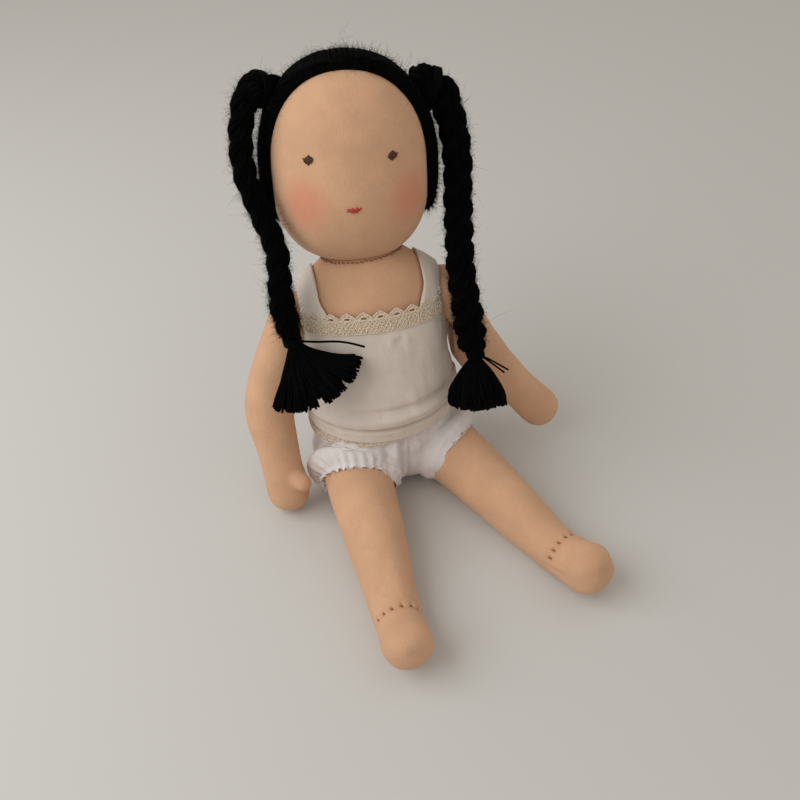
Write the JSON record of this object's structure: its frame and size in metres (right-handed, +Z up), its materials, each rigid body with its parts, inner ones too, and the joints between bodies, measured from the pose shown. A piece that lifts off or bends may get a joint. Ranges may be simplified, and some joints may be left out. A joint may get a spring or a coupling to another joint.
{
  "type": "waldorf doll",
  "caption": "Stuffed cloth doll sitting with legs spread, black plaits, embroidered face, lace-edged camisole and gathered bloomers, with limbs that turn at the sewn shoulders and hips.",
  "frame": {"origin": "the floor under the middle of the seat, between the hips", "axes": "+Z up, -Y the way the doll faces, +X to the doll's left"},
  "size_m": [0.2043, 0.2617, 0.2608],
  "materials": {
    "skin_jersey": "fine cotton knit, matt",
    "wool": "carded wool",
    "tie_cord": "twisted cotton cord",
    "hair_tie": "black yarn wrap",
    "eye_thread": "embroidery thread",
    "mouth_thread": "embroidery thread",
    "hair_mohair": "brushed black mohair yarn",
    "camisole_cotton": "soft white cotton knit",
    "lace": "cream cotton lace",
    "bloomers_cotton": "thin white woven cotton, gathered",
    "seam_thread": "brown sewing thread"
  },
  "bodies": {
    "torso": {"torso_skin": "skin_jersey", "torso_stuffing": "wool", "neck_seam_thread": "seam_thread", "camisole_body": "camisole_cotton", "camisole_strap_right": "camisole_cotton", "camisole_strap_left": "camisole_cotton", "neckline_lace": "lace", "bloomers": "bloomers_cotton", "waistband_lace": "lace"},
    "head": {"head_core": "wool", "eye_line_tie": "tie_cord", "ear_line_tie": "tie_cord", "neck_tie": "tie_cord", "head_skin": "skin_jersey", "eye_right": "eye_thread", "eye_left": "eye_thread", "mouth": "mouth_thread", "hair_cap": "hair_mohair", "plait_upper_right": "hair_mohair", "plait_root_tie_right": "hair_tie", "plait_upper_left": "hair_mohair", "plait_root_tie_left": "hair_tie"},
    "plait_right": {"plait_lower_right": "hair_mohair", "plait_end_tie_right": "hair_tie"},
    "brush_right": {"plait_brush_right": "hair_mohair"},
    "shoulder_right": {"shoulder_seam_right": "seam_thread"},
    "arm_right": {"arm_skin_right": "skin_jersey", "arm_stuffing_right": "wool"},
    "hip_right": {"hip_seam_right": "seam_thread"},
    "leg_right": {"leg_skin_right": "skin_jersey", "leg_stuffing_right": "wool", "ankle_stitches_right": "seam_thread", "leg_elastic_right": "bloomers_cotton"},
    "plait_left": {"plait_lower_left": "hair_mohair", "plait_end_tie_left": "hair_tie"},
    "brush_left": {"plait_brush_left": "hair_mohair"},
    "shoulder_left": {"shoulder_seam_left": "seam_thread"},
    "arm_left": {"arm_skin_left": "skin_jersey", "arm_stuffing_left": "wool"},
    "hip_left": {"hip_seam_left": "seam_thread"},
    "leg_left": {"leg_skin_left": "skin_jersey", "leg_stuffing_left": "wool", "ankle_stitches_left": "seam_thread", "leg_elastic_left": "bloomers_cotton"}
  },
  "joints": [
    {"name": "neck_turn", "type": "hinge", "parent": "torso", "child": "head", "pos_m": [0, 0.02452, 0.15486], "axis": [0, 0.2756, 0.9613], "range_deg": [-20, 20]},
    {"name": "shoulder_raise_right", "type": "hinge", "parent": "torso", "child": "shoulder_right", "pos_m": [-0.04417, 0.02313, 0.11885], "axis": [0.1908, 0.9436, -0.2706], "range_deg": [0, 60]},
    {"name": "shoulder_swing_right", "type": "hinge", "parent": "shoulder_right", "child": "arm_right", "pos_m": [-0.04417, 0.02313, 0.11885], "axis": [0.9816, -0.1834, 0.0526], "range_deg": [0, 60]},
    {"name": "hip_fold_right", "type": "hinge", "parent": "torso", "child": "hip_right", "pos_m": [-0.026, -0.002, 0.024], "axis": [0.9925, -0.1219, 0], "range_deg": [0, 80], "deforming": ["bloomers"]},
    {"name": "hip_splay_right", "type": "hinge", "parent": "hip_right", "child": "leg_right", "pos_m": [-0.026, -0.002, 0.024], "axis": [0.0093, 0.0761, -0.9971], "range_deg": [0, 18], "deforming": ["bloomers"]},
    {"name": "plait_swing_right", "type": "hinge", "parent": "torso", "child": "plait_right", "pos_m": [-0.0523, 0.00477, 0.15106], "axis": [-0.9816, 0.1834, -0.0526], "range_deg": [0, 35]},
    {"name": "brush_swing_right", "type": "hinge", "parent": "plait_right", "child": "brush_right", "pos_m": [-0.04888, -0.00767, 0.11899], "axis": [-0.9816, 0.1834, -0.0526], "range_deg": [0, 30]},
    {"name": "shoulder_raise_left", "type": "hinge", "parent": "torso", "child": "shoulder_left", "pos_m": [0.04417, 0.00662, 0.12358], "axis": [-0.1908, -0.9436, 0.2706], "range_deg": [0, 45]},
    {"name": "shoulder_swing_left", "type": "hinge", "parent": "shoulder_left", "child": "arm_left", "pos_m": [0.04417, 0.00662, 0.12358], "axis": [0.9816, -0.1834, 0.0526], "range_deg": [0, 60]},
    {"name": "hip_fold_left", "type": "hinge", "parent": "torso", "child": "hip_left", "pos_m": [0.026, -0.002, 0.024], "axis": [0.9537, 0.3007, 0], "range_deg": [0, 80], "deforming": ["bloomers"]},
    {"name": "hip_splay_left", "type": "hinge", "parent": "hip_left", "child": "leg_left", "pos_m": [0.026, -0.002, 0.024], "axis": [0.0231, -0.0732, 0.9971], "range_deg": [0, 18], "deforming": ["bloomers"]},
    {"name": "plait_swing_left", "type": "hinge", "parent": "torso", "child": "plait_left", "pos_m": [0.05182, -0.0028, 0.15357], "axis": [-0.9816, 0.1834, -0.0526], "range_deg": [0, 35]},
    {"name": "brush_swing_left", "type": "hinge", "parent": "plait_left", "child": "brush_left", "pos_m": [0.05208, -0.03123, 0.09392], "axis": [-0.9816, 0.1834, -0.0526], "range_deg": [0, 30]}
  ]
}
